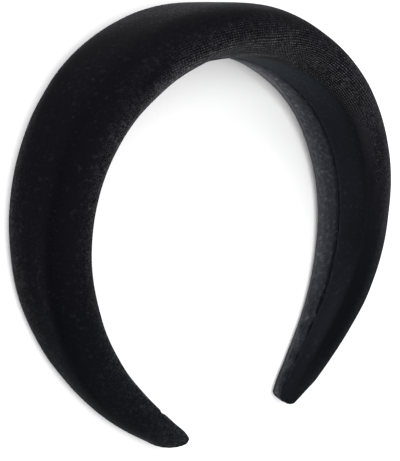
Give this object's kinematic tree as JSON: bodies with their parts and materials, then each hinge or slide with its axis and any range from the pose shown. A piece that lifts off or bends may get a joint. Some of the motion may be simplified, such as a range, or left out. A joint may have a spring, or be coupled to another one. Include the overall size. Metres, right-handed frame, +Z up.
{
  "type": "wide padded velvet headband",
  "caption": "Wide padded headband in black velvet: a soft D-section arch that tapers to two blunt tips, with its cloth turned in over the inner face.",
  "frame": {"origin": "on the surface that the band lies on, in the middle of its box seen from above", "axes": "+X across the band from limb to limb, +Y from the two tips towards the crown, +Z up, towards the band's front edge"},
  "size_m": [0.1594, 0.1468, 0.0533],
  "materials": {
    "outer_velvet": "black velvet with a fine knitted ground and a soft sheen",
    "front_turned_velvet": "black velvet, nap laid smooth and dark",
    "rear_turned_velvet": "black velvet, nap standing and greyer"
  },
  "bodies": {
    "root": {"padded_band": "outer_velvet", "front_flap": "front_turned_velvet", "rear_flap": "rear_turned_velvet"}
  },
  "joints": []
}
